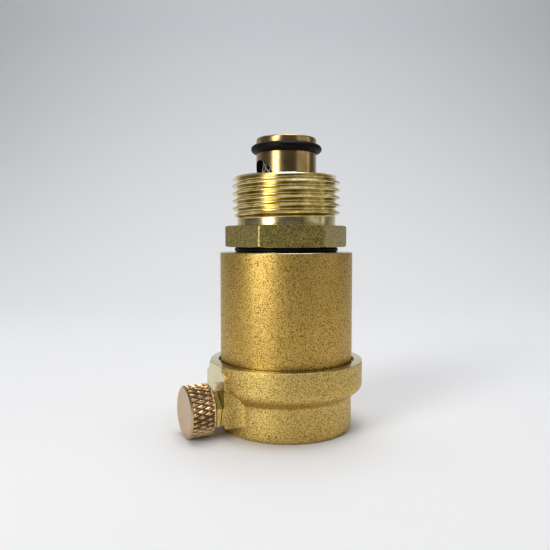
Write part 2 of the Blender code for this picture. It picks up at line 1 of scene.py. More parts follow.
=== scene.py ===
"""Looks of the automatic air vent: fine surfaces, materials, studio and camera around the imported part.

Lengths are in millimetres in the constants and the shape functions, and in metres in Blender.
The vent frame has its X axis out through the side boss; the vent axis has its Z axis along the knob.
"""

import math

import bmesh
import bpy
from mathutils import Matrix, Vector


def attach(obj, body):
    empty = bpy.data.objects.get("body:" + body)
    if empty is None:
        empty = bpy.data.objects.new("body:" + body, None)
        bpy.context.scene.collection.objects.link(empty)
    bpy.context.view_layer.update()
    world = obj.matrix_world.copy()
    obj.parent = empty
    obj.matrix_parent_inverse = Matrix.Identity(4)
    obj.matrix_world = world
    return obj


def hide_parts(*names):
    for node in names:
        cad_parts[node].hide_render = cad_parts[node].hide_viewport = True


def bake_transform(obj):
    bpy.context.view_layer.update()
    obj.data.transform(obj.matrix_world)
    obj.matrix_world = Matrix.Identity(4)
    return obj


MM = 0.001

# Cap and its side boss: the CAD's main sizes, with finer corners.
CAP_R = 16.168
STEP_Z = 8.25
COLLAR_Z = 10.45
COLLAR_R = 18.815
COLLAR_TOP = 16.939
COLLAR_EDGE = 0.18
CAP_FLOOR = 2.6
CAP_CAVITY_R = 13.6
CAP_LEDGE_Z = 9.2
CAP_BORE_R = 16.1
CAP_MOUTH_R = 16.8
CAP_MOUTH_Z = 15.8
CAP_MOUTH_LEAD = 0.4
VENT_AZIMUTH = math.radians(205.789)
VENT_Z = 6.3
FLAT_X = 18.75
BOSS_HALF = 6.0
BOSS_LOW = 2.8
BOSS_HIGH = 15.0
TAB_HALF = 4.25
BOSS_CORNER = 0.5
BOSS_EDGE = 0.4
BOSS_FILLET = 3.5
BOSS_END = math.radians(80)  # the boss reaches nothing beyond this turn from its middle line
TAB_SLOPE = 1.2
OUTLET_R = 2.3
OUTLET_END_X = 12.6
CHANNEL_R = 0.9
CHANNEL_END_X = 5.0

# Where the boss's fillet lifts the step under the collar, by height and by turn from the boss's middle.
STEP_LIFT = 2.2
STEP_LIFT_Z = (7.0, 13.0)
STEP_LIFT_LEADS = (0.6, 3.2)
STEP_LIFT_END = math.radians(30)
STEP_LIFT_SPAN = math.radians(11)

# Chamber.
BODY_R = 16.26
BODY_TOP = 43.322
BODY_LOW_Z = 15.95
CHAMBER_R = 14.0
CHAMBER_CEILING = 34.0
SPIGOT_R = 15.9
SPIGOT_LOW = 10.75
STOP_R = 6.4
STOP_TOP = 35.7
TAPPED_R = 12.0
TAPPED_LEAD = (0.2, 0.222)

# Inlet fitting.
HEX_CORNER_R = 15.161
HEX_Z = (44.524, 49.713)
HEX_TURN = math.radians(4.483)
HEX_EDGE = 0.9
HEX_FACE_R = 14.3
HEX_CHAMFER = 0.3
HEX_BORE_R = 12.2
THREAD_R = 13.2205
THREAD_ROOT_R = 12.06
THREAD_PITCH = 1.814
THREAD_FLANK = math.radians(27.5)
THREAD_PHASE_Z = 58.3
THREAD_START_Z = 51.2
THREAD_END_Z = 61.657
THREAD_CHAMFER = (0.7, 1.3)  # height, and fall for each millimetre of it
THREAD_RUN_OUT = 1.3
FITTING_MOUTH = (8.95, 60.4)
FITTING_BORE_R = 7.6
FITTING_BORE_LOW = 53.0
SPRING_BORE_R = 9.6
FITTING_LOW = 36.2
FITTING_SPIGOT_R = 11.75
NECK_R = 11.5
NECK_Z = (42.6, 49.0)
NECK_LEAD = 0.3
FITTING_RING = (12.2, 0.54, 43.923)  # middle radius, section radius, height

# Plunger with its filter and spring.
TUBE_R = 7.34
TUBE_BORE_R = 6.0
TUBE_TOP = 70.972
TUBE_LOW = 36.0
TUBE_CAP_Z = 66.3
RING_GROOVE = (6.5, 67.28, 69.35)  # radius, low and high
CLIP_GROOVE = (6.9, 37.15, 38.3)
PLUNGER_RING = (7.64, 1.0, 68.315)  # middle radius, section radius, height
WINDOW_R = 4.5
WINDOW_Z = 60.9
WEAVE_R = 5.68
WEAVE_Z = (50.7, 65.9)
WEAVE_WIRE_R = 0.095
WEAVE_DEPTH = 0.13
WEAVE_STARTS = 13
WEAVE_RISE = math.radians(41)
SPRING_R = 8.6
SPRING_WIRE_R = 0.45
SPRING_Z = (38.75, 52.45)
SPRING_TURNS = 8

# Vent knob and nipple, as heights on the vent axis.
KNOB_R = 6.1
KNOB_X = (20.45, 26.56)
SHANK_R = 1.5
SHANK_END_X = 12.85
TIP_R = 0.75
TIP_END_X = 11.7
NIPPLE_HEX_R = 4.7
NIPPLE_HEX_TURN = math.radians(12)
NIPPLE_HEX_X = (18.85, 20.15)
NIPPLE_FACE_R = 4.2
NIPPLE_R = 2.15
NIPPLE_BORE_R = 1.65
NIPPLE_END_X = 14.5

# Knurl on the knob's rim.
KNURL_COUNT = 30
KNURL_PITCH = 3.5
KNURL_GROOVE = 0.36
KNURL_DEPTH = 0.36
KNURL_MARGIN = 0.40
KNURL_RUN_OUT = 0.2

# Camera and studio.
CAMERA_AT = (-2.768, -147.972, 46.444)  # millimetres, as is the lens's focal length
CAMERA_DOWN = math.radians(3.437)
CAMERA_LENS = 39.06
WALL_SHADE_Z = 0.35  # metres above the floor where the paper's painted shade reaches its full darker, bluer tone
DARK_ROOM_SHADE_Y = (-0.22, -0.47)  # metres in front of the part where the paper is painted dark, painted shade for the unlit room

# Meshes.
CLEAR = 2.0  # how far a cutter runs past what it cuts
CORNER_SHARE = 0.48  # most of a side that one rounded corner may take
LEAST_ROUND = 0.005
BEVEL_ANGLE = math.radians(25)

VENT_FRAME = Matrix.Rotation(VENT_AZIMUTH, 4, "Z")
Z_TO_X = Matrix.Rotation(math.pi / 2, 4, "Y")
VENT_AXIS = VENT_FRAME @ Matrix.Translation((0, 0, VENT_Z * MM)) @ Z_TO_X


# ---------------------------------------------------------------- shapes


def raw_object(name, bm, matrix=None):
    """Turns a bmesh into an object with no material, such as a helper for a Boolean."""
    bmesh.ops.recalc_face_normals(bm, faces=bm.faces)
    mesh = bpy.data.meshes.new(name)
    bm.to_mesh(mesh)
    bm.free()
    if matrix is not None:
        mesh.transform(matrix)
    obj = bpy.data.objects.new(name, mesh)
    bpy.context.scene.collection.objects.link(obj)
    return obj


def finish_mesh(name, bm, look, body, smooth_deg, matrix=None):
    """Turns a bmesh into a shaded piece that rides on a body, or on none yet when body is None."""
    obj = raw_object(name, bm, matrix)
    obj.data.shade_smooth()
    obj.data.set_sharp_from_angle(angle=math.radians(smooth_deg))
    obj.data.materials.append(look)
    if body:
        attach(obj, body)
    return obj


def soften(points, radii, steps=4):
    """A profile with each inner corner rounded; radii holds one number for each inner corner."""
    result = [points[0]]
    for i in range(1, len(points) - 1):
        here = Vector(points[i])
        before = Vector(points[i - 1]) - here
        after = Vector(points[i + 1]) - here
        reach = min(radii[i - 1], before.length * CORNER_SHARE, after.length * CORNER_SHARE)
        if reach < LEAST_ROUND:
            result.append(points[i])
            continue
        start = here + before.normalized() * reach
        end = here + after.normalized() * reach
        for k in range(steps + 1):
            t = k / steps
            result.append(tuple(start * (1 - t) ** 2 + here * 2 * t * (1 - t) + end * t**2))
    result.append(points[-1])
    return result


def skin(bm, rings, around=True):
    """Joins rows of points, all of one length, with quads; a row of one point is a pole."""
    rows = [[bm.verts.new(p) for p in ring] for ring in rings]
    for low, high in zip(rows, rows[1:]):
        count = max(len(low), len(high))
        for i in range(count if around else count - 1):
            j = (i + 1) % count
            if len(low) == 1:
                bm.faces.new((low[0], high[i], high[j]))
            elif len(high) == 1:
                bm.faces.new((low[i], low[j], high[0]))
            else:
                bm.faces.new((low[i], low[j], high[j], high[i]))
    return rows


def turn_rings(profile, segments, radius=None):
    """Rings of points round Z for a (radius, height) profile; radius(angle, r, z) may change each point."""
    rings = []
    for r, z in profile:
        if r < 1e-6:
            rings.append([(0, 0, z * MM)])
            continue
        ring = []
        for i in range(segments):
            angle = 2 * math.pi * i / segments
            out = radius(angle, r, z) if radius else r
            ring.append((out * math.cos(angle) * MM, out * math.sin(angle) * MM, z * MM))
        rings.append(ring)
    return rings


def turned(name, profile, look, body, segments, closed=False, matrix=None, smooth_deg=35, radius=None):
    """A piece turned round Z; closed joins the profile's last point to its first."""
    bm = bmesh.new()
    rows = skin(bm, turn_rings(profile, segments, radius))
    if closed:
        first, last = rows[0], rows[-1]
        for i in range(len(first)):
            j = (i + 1) % len(first)
            bm.faces.new((last[i], last[j], first[j], first[i]))
    return finish_mesh(name, bm, look, body, smooth_deg, matrix)


def spaced(start, end, step):
    """Even numbers from start to end, at most step apart."""
    count = max(1, math.ceil(abs(end - start) / step))
    return [start + (end - start) * i / count for i in range(count + 1)]


def raw_turned(name, profile, segments, matrix=None):
    bm = bmesh.new()
    skin(bm, turn_rings(profile, segments))
    return raw_object(name, bm, matrix)


def combined(base, steps):
    """Applies Booleans, one (operation, helper) after another; gives base's name and the resulting bmesh."""
    for operation, other in steps:
        change = base.modifiers.new(other.name, "BOOLEAN")
        change.operation = operation
        change.object = other
    graph = bpy.context.evaluated_depsgraph_get()
    mesh = bpy.data.meshes.new_from_object(base.evaluated_get(graph))
    name = base.name
    for obj in [base] + [other for _, other in steps]:
        bpy.data.objects.remove(obj)
    bm = bmesh.new()
    bm.from_mesh(mesh)
    bpy.data.meshes.remove(mesh)
    return name, bm


def bevelled(obj, width, segments):
    edge = obj.modifiers.new("edge", "BEVEL")
    edge.width = width * MM
    edge.segments = segments
    edge.limit_method = "ANGLE"
    edge.angle_limit = BEVEL_ANGLE
    edge.harden_normals = True


def extruded(bm, outline, low, high):
    """A solid from a flat outline of (x, y) points, from height low to high."""
    bottom = [bm.verts.new((x * MM, y * MM, low * MM)) for x, y in outline]
    top = [bm.verts.new((x * MM, y * MM, high * MM)) for x, y in outline]
    bm.faces.new(bottom[::-1])
    bm.faces.new(top)
    for i in range(len(outline)):
        j = (i + 1) % len(outline)
        bm.faces.new((bottom[i], bottom[j], top[j], top[i]))


def wire(bm, points, radius, sides):
    """A round wire along a line of points, added to a bmesh."""
    rows = []
    for i, point in enumerate(points):
        ahead = points[min(i + 1, len(points) - 1)]
        behind = points[max(i - 1, 0)]
        along = (Vector(ahead) - Vector(behind)).normalized()
        outward = Vector((point[0], point[1], 0)).normalized()
        side = along.cross(outward).normalized()
        out = side.cross(along)
        row = []
        for k in range(sides):
            turn = 2 * math.pi * k / sides
            spot = Vector(point) + (out * math.cos(turn) + side * math.sin(turn)) * radius
            row.append(bm.verts.new(spot * MM))
        rows.append(row)
    for low, high in zip(rows, rows[1:]):
        for k in range(sides):
            j = (k + 1) % sides
            bm.faces.new((low[k], low[j], high[j], high[k]))
    bm.faces.new(rows[0][::-1])
    bm.faces.new(rows[-1])


# ---------------------------------------------------------------- materials


class Look:
    """A Principled material with short calls for its nodes."""

    def __init__(self, name, metallic=1.0, roughness=0.3):
        self.material = bpy.data.materials.new(name)
        self.material.use_nodes = True
        self.tree = self.material.node_tree
        self.shader = self.tree.nodes["Principled BSDF"]
        self.shader.inputs["Metallic"].default_value = metallic
        self.shader.inputs["Roughness"].default_value = roughness
        self.place = self.node("ShaderNodeTexCoord").outputs["Object"]

    def feed(self, socket, value):
        """Joins a socket to another node's output, or sets its plain value."""
        if isinstance(value, bpy.types.NodeSocket):
            self.tree.links.new(value, socket)
        elif isinstance(value, tuple):
            socket.default_value = (*value, 1)
        else:
            socket.default_value = value

    def node(self, kind, **inputs):
        made = self.tree.nodes.new(kind)
        for key, value in inputs.items():
            self.feed(made.inputs[key], value)
        return made

    def stretched(self, x, y, z):
        made = self.tree.nodes.new("ShaderNodeMapping")
        self.tree.links.new(self.place, made.inputs["Vector"])
        made.inputs["Scale"].default_value = (x, y, z)
        return made.outputs[0]

    def noise(self, size, detail, rough, vector=None, distortion=0.0):
        """Noise whose features are about size millimetres across."""
        made = self.node(
            "ShaderNodeTexNoise",
            Vector=vector or self.place,
            Scale=1 / (size * MM),
            Detail=detail,
            Roughness=rough,
            Distortion=distortion,
        )
        return made.outputs["Fac"]

    def cells(self, size):
        """Distance from the middle of cells about size millimetres across."""
        made = self.node("ShaderNodeTexVoronoi", Vector=self.place, Scale=1 / (size * MM))
        return made.outputs["Distance"]

    def ramp(self, value, *stops):
        made = self.tree.nodes.new("ShaderNodeValToRGB")
        self.tree.links.new(value, made.inputs[0])
        elements = made.color_ramp.elements
        while len(elements) < len(stops):
            elements.new(0.5)
        for element, (at, colour) in zip(elements, stops):
            element.position = at
            element.color = (*colour, 1) if isinstance(colour, tuple) else (colour, colour, colour, 1)
        return made.outputs[0]

    def mixed(self, factor, a, b):
        """Colour a where factor is 0 and colour b where it is 1."""
        made = self.tree.nodes.new("ShaderNodeMix")
        made.data_type = "RGBA"
        for socket, value in ((made.inputs[0], factor), (made.inputs[6], a), (made.inputs[7], b)):
            self.feed(socket, value)
        return made.outputs[2]

    def math(self, operation, a, b):
        made = self.tree.nodes.new("ShaderNodeMath")
        made.operation = operation
        for socket, value in zip(made.inputs, (a, b)):
            self.feed(socket, value)
        return made.outputs[0]

    def bump(self, height, depth, strength):
        """Bump whose full height is depth millimetres."""
        made = self.node("ShaderNodeBump", Height=height, Strength=strength, Distance=depth * MM)
        return made.outputs[0]

    def use(self, colour, roughness, normal):
        """Joins the shader to its maps and gives the material; roughness is None where it stays plain."""
        for key, value in (("Base Color", colour), ("Roughness", roughness), ("Normal", normal)):
            if value is not None:
                self.feed(self.shader.inputs[key], value)
        return self.material


def blasted_brass(name, hollows, grains):
    """Fine shot-blasted brass: light grains about 0.3 mm apart on darker lines."""
    look = Look(name)
    cells = look.cells(0.27)
    grain = look.noise(0.16, 1, 0.5)
    patch = look.noise(7.0, 2, 0.5)
    height = look.math("SUBTRACT", look.math("MULTIPLY", grain, 0.25), look.math("MULTIPLY", cells, 0.75))
    pits = look.ramp(look.math("ADD", height, 0.8), (0.34, 0.0), (0.76, 1.0))
    base = look.mixed(pits, hollows, grains)
    colour = look.mixed(look.ramp(patch, (0.4, 0.0), (0.7, 0.2)), base, (0.42, 0.27, 0.06))
    rough = look.ramp(pits, (0.0, 0.52), (1.0, 0.38))
    return look.use(colour, rough, look.bump(height, 0.05, 1.0))


def turned_brass(name, light, dark, rough, marks=0.09):
    """Bright turned metal whose marks run round the Z axis, about marks millimetres apart."""
    look = Look(name)
    rings = look.noise(marks, 2, 0.6, vector=look.stretched(0.02, 0.02, 1))
    patch = look.noise(3.5, 3, 0.6)
    scuff = look.noise(0.5, 3, 0.7, distortion=1.5)
    colour = look.mixed(look.ramp(patch, (0.3, 0.0), (0.7, 1.0)), dark, light)
    rough_map = look.math("ADD", look.math("MULTIPLY", scuff, 0.16), rough - 0.07)
    return look.use(colour, rough_map, look.bump(rings, 0.012, 0.5))


def milled_brass(name, dark, light, rough, hollow=None, speckle=0.3):
    """Machined faces with a fine speckle and faint cutter lines; hollow is the painted shade colour deep in
    a knurl's grooves.
    """
    look = Look(name)
    speck = look.noise(speckle, 2, 0.6, distortion=0.5)
    lines = look.noise(0.10, 2, 0.6, vector=look.stretched(1, 1, 0.05))
    colour = look.mixed(look.ramp(speck, (0.40, 0.0), (0.60, 1.0)), dark, light)
    # Painted shade: darker with depth in the knurl's grooves.
    if hollow:
        depth = look.node("ShaderNodeAttribute")
        depth.attribute_name = "hollow"
        colour = look.mixed(look.ramp(depth.outputs["Fac"], (0.25, 0.0), (0.95, 1.0)), colour, hollow)
    height = look.math("ADD", speck, look.math("MULTIPLY", lines, 0.4))
    rough_map = look.math("ADD", look.math("MULTIPLY", speck, 0.15), rough - 0.07)
    return look.use(colour, rough_map, look.bump(height, 0.12 * speckle, 0.8))


def rubber():
    look = Look("black_rubber", metallic=0.0)
    dust = look.noise(0.35, 4, 0.65)
    patch = look.noise(2.5, 2, 0.5)
    dusty = look.ramp(dust, (0.55, 0.0), (0.8, 0.6))
    base = look.mixed(dusty, (0.004, 0.004, 0.004), (0.02, 0.02, 0.021))
    rough = look.ramp(patch, (0.3, 0.38), (0.7, 0.55))
    look.shader.inputs["Specular IOR Level"].default_value = 0.09
    return look.use(base, rough, look.bump(dust, 0.02, 0.5))


def steel(name, rough, metallic=1.0):
    look = Look(name, metallic)
    scuff = look.noise(0.4, 3, 0.6)
    colour = look.mixed(scuff, (0.60, 0.59, 0.58), (0.84, 0.83, 0.82))
    rough_map = look.math("ADD", look.math("MULTIPLY", scuff, 0.2), rough - 0.08)
    return look.use(colour, rough_map, look.bump(scuff, 0.008, 0.5))


def moulded_plastic():
    look = Look("moulded_plastic", metallic=0.0)
    grain = look.noise(0.25, 3, 0.6)
    patch = look.noise(5.0, 2, 0.5)
    colour = look.mixed(patch, (0.74, 0.74, 0.70), (0.86, 0.86, 0.82))
    rough = look.ramp(grain, (0.3, 0.38), (0.7, 0.5))
    return look.use(colour, rough, look.bump(grain, 0.015, 0.4))


# ---------------------------------------------------------------- pieces


def boss_radius(turn, half_width):
    """How far out the boss reaches in the direction turn from its middle line, or 0 beside it."""
    turn = abs(turn)
    if turn > BOSS_END:
        return 0.0
    flat = FLAT_X / math.cos(turn)
    side = half_width / max(math.sin(turn), 0.001)
    gap = max(BOSS_CORNER - abs(flat - side), 0) / BOSS_CORNER
    reach = min(flat, side) - gap * gap * BOSS_CORNER / 4
    far = CAP_R + BOSS_FILLET
    middle = math.asin((half_width + BOSS_FILLET) / far)
    off = far * math.sin(turn - middle)
    if turn > middle:
        return 0.0
    hollow = far * math.cos(turn - middle) - math.sqrt(max(BOSS_FILLET**2 - off * off, 0.0))
    tangent = math.atan2(half_width, far * math.cos(middle))
    return hollow if turn > tangent else reach


def cap_surface(azimuth, r, z):
    """A point of the cap's outside: the turned shape joined with the boss, whose fillet lifts the step."""
    turn = (azimuth - VENT_AZIMUTH + math.pi) % (2 * math.pi) - math.pi
    near = min(1.0, max(0.0, (STEP_LIFT_END - abs(turn)) / STEP_LIFT_SPAN))
    low, high = STEP_LIFT_Z
    low_lead, high_lead = STEP_LIFT_LEADS
    if low < z < high:
        z += STEP_LIFT * near**2 * min(1.0, (z - low) / low_lead, (high - z) / high_lead)
    if z < BOSS_LOW or r < 1:
        return r, z
    narrow = min(1.0, max(0.0, (z - BOSS_HIGH) / TAB_SLOPE + 0.5))
    half_width = BOSS_HALF + (TAB_HALF - BOSS_HALF) * narrow
    edge = max(0.0, BOSS_LOW + BOSS_EDGE - z)
    inset = BOSS_EDGE - math.sqrt(max(BOSS_EDGE**2 - edge * edge, 0.0))
    if z > COLLAR_TOP - 2 * COLLAR_EDGE:
        inset = max(0.0, COLLAR_R - r)
    return max(r, boss_radius(turn, half_width) - inset), z


def cap_azimuths():
    """Angles round the cap, close together at the boss."""
    wide = math.radians(36)
    fine_steps = 240
    coarse_steps = 200
    fine = [VENT_AZIMUTH - wide + 2 * wide * k / fine_steps for k in range(fine_steps)]
    rest = 2 * math.pi - 2 * wide
    return fine + [VENT_AZIMUTH + wide + rest * k / coarse_steps for k in range(coarse_steps)]


def mark_faces(obj, look, rules):
    """Gives a second look to the faces that any rule(centre, normal) picks; centre is in millimetres."""
    obj.data.materials.append(look)
    for face in obj.data.polygons:
        centre = face.center / MM
        if any(rule(centre, face.normal) for rule in rules):
            face.material_index = 1


def cap_outline():
    """(radius, height) points of the cap's outside from foot to top, with extra levels for the boss."""
    outside = [(0, 0), (CAP_R, 0), (CAP_R, STEP_Z), (COLLAR_R, COLLAR_Z)]
    outside += [(COLLAR_R, COLLAR_TOP), (0, COLLAR_TOP)]
    outside = soften(outside, [1.0, 0.5, 0.9, COLLAR_EDGE])
    slope = Vector((COLLAR_R - CAP_R, COLLAR_Z - STEP_Z))
    outside += [tuple(Vector((CAP_R, STEP_Z)) + slope * share) for share in (0.3, 0.45, 0.6)]
    levels = [BOSS_LOW - 0.01] + spaced(BOSS_LOW, BOSS_LOW + BOSS_EDGE, 0.1) + spaced(3.8, 7.0, 0.8)
    levels += spaced(COLLAR_Z + 1.15, 14.2, 0.6)
    levels += spaced(BOSS_HIGH - TAB_SLOPE / 2, BOSS_HIGH + TAB_SLOPE / 2, 0.1)
    outside += [(CAP_R if z < STEP_Z else COLLAR_R, z) for z in levels]
    walls = [(r, z) for r, z in outside if r > 1]
    # Points at one height stay in order: outward on the foot, and inward as listed on the top.
    return sorted(walls, key=lambda point: (point[1], point[0] if point[1] < STEP_Z else 0))


def cap_shell():
    rings = [[(0, 0, 0)]]
    for r, z in cap_outline():
        spots = [(a, *cap_surface(a, r, z)) for a in cap_azimuths()]
        rings.append([(out * math.cos(a) * MM, out * math.sin(a) * MM, up * MM) for a, out, up in spots])
    rings.append([(0, 0, COLLAR_TOP * MM)])
    bm = bmesh.new()
    skin(bm, rings)
    return raw_object("vent_cap_shell", bm)


def make_cap(look, machined):
    mouth = COLLAR_TOP + CLEAR
    hollow = [(0, mouth), (CAP_MOUTH_R, mouth), (CAP_MOUTH_R, CAP_MOUTH_Z)]
    hollow += [(CAP_BORE_R, CAP_MOUTH_Z - CAP_MOUTH_LEAD), (CAP_BORE_R, CAP_LEDGE_Z)]
    hollow += [(CAP_CAVITY_R, CAP_LEDGE_Z), (CAP_CAVITY_R, CAP_FLOOR), (0, CAP_FLOOR)]
    outlet = [(0, FLAT_X + CLEAR), (OUTLET_R, FLAT_X + CLEAR), (OUTLET_R, OUTLET_END_X)]
    outlet += [(CHANNEL_R, OUTLET_END_X - OUTLET_R + CHANNEL_R), (CHANNEL_R, CHANNEL_END_X)]
    outlet += [(0, CHANNEL_END_X)]
    shell = cap_shell()
    inside = raw_turned("cap_hollow", hollow, 192)
    bore = raw_turned("outlet_bore", outlet, 48, VENT_AXIS)
    name, bm = combined(shell, [("DIFFERENCE", inside), ("DIFFERENCE", bore)])
    cap = finish_mesh(name, bm, look, "housing", 30)
    outward = VENT_FRAME @ Vector((1, 0, 0))

    def on_flat(centre, normal):
        return centre.dot(outward) > FLAT_X - 0.1 and normal.dot(outward) > 0.97

    def on_top(centre, normal):
        return centre.z > COLLAR_TOP - 0.2 and normal.z > 0.6

    def in_mouth(centre, normal):
        return centre.z > CAP_LEDGE_Z + 0.1 and centre.xy.length < CAP_MOUTH_R + 0.05

    mark_faces(cap, machined, [on_flat, on_top, in_mouth])
    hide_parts("vent_cap")


def make_chamber(look, machined):
    profile = [(TAPPED_R + TAPPED_LEAD[0], BODY_TOP), (BODY_R, BODY_TOP), (BODY_R, BODY_LOW_Z)]
    profile += [(SPIGOT_R, BODY_LOW_Z - 0.15), (SPIGOT_R, SPIGOT_LOW), (CHAMBER_R, SPIGOT_LOW)]
    profile += [(CHAMBER_R, CHAMBER_CEILING), (STOP_R, CHAMBER_CEILING), (STOP_R, STOP_TOP)]
    profile += [(TAPPED_R, STOP_TOP), (TAPPED_R, BODY_TOP - TAPPED_LEAD[1])]
    rounds = [0.35, 0.1, 0.05, 0.2, 0.2, 0.6, 0.2, 0.2, 0.2, 0.1]
    chamber = turned("chamber_shell", soften(profile, rounds), look, "housing", 192, closed=True)

    def on_top(centre, normal):
        return centre.z > BODY_TOP - 0.3 and normal.z > 0.3

    mark_faces(chamber, machined, [on_top])
    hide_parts("float_chamber")


def thread_profile():
    """One pitch of the thread as (share of a pitch, radius) points, from root to root."""
    crest, root = 0.11, 0.13
    half = THREAD_PITCH / 2
    slope_end = crest + (THREAD_R - THREAD_ROOT_R) * math.tan(THREAD_FLANK)
    points = [(-half, THREAD_ROOT_R), (-slope_end - root * 0.5, THREAD_ROOT_R + 0.01)]
    points += [(-slope_end + 0.03, THREAD_ROOT_R + 0.10), (-crest - 0.10, THREAD_R - 0.14)]
    points += [(-crest - 0.02, THREAD_R - 0.03), (-crest * 0.5, THREAD_R), (crest * 0.5, THREAD_R)]
    points += [(-z, r) for z, r in reversed(points[1:5])]
    return [(z / THREAD_PITCH, r) for z, r in points]


def trimmed_radius(r, z):
    """The thread's radius after the end chamfer and the run-out into the undercut."""
    height, fall = THREAD_CHAMFER
    tail = THREAD_R - max(0.0, z - (THREAD_END_Z - height)) * fall
    fade = min(1.0, max(0.0, (z - THREAD_START_Z) / THREAD_RUN_OUT))
    return min(THREAD_ROOT_R + (r - THREAD_ROOT_R) * fade, tail)


def thread_rows(bm, segments):
    """A helical grid: each row climbs one pitch a turn and joins the row one pitch above it."""
    outline = thread_profile()
    per_turn = len(outline)
    first = math.floor((THREAD_START_Z - THREAD_PHASE_Z) / THREAD_PITCH) - 1
    last = math.ceil((THREAD_END_Z - THREAD_PHASE_Z) / THREAD_PITCH) + 1
    spots = [(turn + share, r) for turn in range(first, last + 1) for share, r in outline]
    rows = []
    for turn, r in spots:
        row = []
        for i in range(segments):
            angle = 2 * math.pi * i / segments
            z = THREAD_PHASE_Z + THREAD_PITCH * (turn + i / segments)
            held = min(max(z, THREAD_START_Z), THREAD_END_Z)
            out = trimmed_radius(r if held == z else THREAD_ROOT_R, held)
            row.append(bm.verts.new((out * math.cos(angle) * MM, out * math.sin(angle) * MM, held * MM)))
        rows.append(row)
    for k in range(len(rows) - 1):
        for i in range(segments - 1):
            bm.faces.new((rows[k][i], rows[k][i + 1], rows[k + 1][i + 1], rows[k + 1][i]))
        if k + 1 + per_turn < len(rows):
            bm.faces.new((rows[k][-1], rows[k + per_turn][0], rows[k + 1 + per_turn][0], rows[k + 1][-1]))


def make_fitting(thread_look, hex_look):
    bm = bmesh.new()
    thread_rows(bm, 256)
    bmesh.ops.remove_doubles(bm, verts=bm.verts, dist=0.000004)
    thread = finish_mesh("inlet_thread", bm, thread_look, "fitting", 40)
    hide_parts("inlet_fitting")
    make_sleeve(thread_look)
    make_hexagon(hex_look)


def make_sleeve(look):
    """The fitting's body: under the thread, through the hexagon and down into the chamber."""
    mouth_r, mouth_z = FITTING_MOUTH
    neck_low, neck_high = NECK_Z
    under_thread = THREAD_ROOT_R - 0.3
    profile = [(THREAD_ROOT_R + 0.2, THREAD_END_Z - 0.04), (THREAD_ROOT_R - 0.05, THREAD_END_Z)]
    profile += [(mouth_r, THREAD_END_Z), (FITTING_BORE_R, mouth_z), (FITTING_BORE_R, FITTING_BORE_LOW)]
    profile += [(SPRING_BORE_R, FITTING_BORE_LOW), (SPRING_BORE_R, FITTING_LOW)]
    profile += [(FITTING_SPIGOT_R, FITTING_LOW), (FITTING_SPIGOT_R, neck_low - NECK_LEAD)]
    profile += [(NECK_R, neck_low), (NECK_R, neck_high), (THREAD_ROOT_R - 0.02, neck_high + NECK_LEAD)]
    profile += [(THREAD_ROOT_R - 0.02, THREAD_START_Z + 0.3), (under_thread, THREAD_START_Z + 0.5)]
    profile += [(under_thread, THREAD_END_Z - 0.3)]
    rounds = [0.1, 0.12, 0.05, 0.1, 0.1, 0.1, 0.2, 0.2, 0.1, 0.1, 0.1, 0.1, 0.0, 0.0]
    sleeve = turned("inlet_sleeve", soften(profile, rounds), look, "fitting", 192, closed=True)


def make_hexagon(look):
    """The fitting's hexagon, with worn round corners and chamfered ends."""
    low, high = HEX_Z
    centre_r = HEX_CORNER_R - HEX_EDGE / math.cos(math.pi / 6)
    outline = []
    for corner in range(6):
        middle = HEX_TURN + math.pi / 3 * corner
        for k in range(-4, 5):
            turn = middle + math.pi / 6 * k / 4
            x = centre_r * math.cos(middle) + HEX_EDGE * math.cos(turn)
            outline.append((x, centre_r * math.sin(middle) + HEX_EDGE * math.sin(turn)))
    bm = bmesh.new()
    extruded(bm, outline, low, high)
    base = raw_object("inlet_hexagon", bm)
    lens_r = HEX_CORNER_R + 0.1
    lens = [(0, high), (HEX_FACE_R, high), (lens_r, high - HEX_CHAMFER), (lens_r, low + HEX_CHAMFER)]
    lens += [(HEX_FACE_R, low), (0, low)]
    chamfer = raw_turned("hexagon_chamfer", lens, 240)
    hole = [(0, high + CLEAR), (HEX_BORE_R, high + CLEAR), (HEX_BORE_R, low - CLEAR), (0, low - CLEAR)]
    bore = raw_turned("hexagon_bore", hole, 96)
    name, bm = combined(base, [("INTERSECT", chamfer), ("DIFFERENCE", bore)])
    hexagon = finish_mesh(name, bm, look, "fitting", 30)
    bevelled(hexagon, 0.12, 2)


def make_plunger(look, bore_shade):
    ring_r, ring_low, ring_high = RING_GROOVE
    clip_r, clip_low, clip_high = CLIP_GROOVE
    profile = [(0, TUBE_TOP), (TUBE_R, TUBE_TOP), (TUBE_R, ring_high), (ring_r, ring_high)]
    profile += [(ring_r, ring_low), (TUBE_R, ring_low), (TUBE_R, clip_high), (clip_r, clip_high)]
    profile += [(clip_r, clip_low), (TUBE_R, clip_low), (TUBE_R, TUBE_LOW), (TUBE_BORE_R, TUBE_LOW)]
    profile += [(TUBE_BORE_R, TUBE_CAP_Z), (0, TUBE_CAP_Z)]
    tube = raw_turned("plunger_body", soften(profile, [0.6] + [0.12] * 12), 160)
    reach = TUBE_R + CLEAR
    drill = [(0, reach), (WINDOW_R, reach), (WINDOW_R, -reach), (0, -reach)]
    across = VENT_FRAME @ Matrix.Translation((0, 0, WINDOW_Z * MM)) @ Z_TO_X
    window = raw_turned("plunger_window", drill, 96, across)
    name, bm = combined(tube, [("DIFFERENCE", window)])
    plunger = finish_mesh(name, bm, look, "plunger", 30)

    # Painted shade: the bore's faces get a near-black copy of the copper, standing for the shade inside the
    # tube.
    def in_bore(centre, normal):
        return centre.xy.length < TUBE_R - 0.1 and centre.z < TUBE_CAP_Z + 0.1

    mark_faces(plunger, bore_shade, [in_bore])
    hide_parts("plunger_tube")


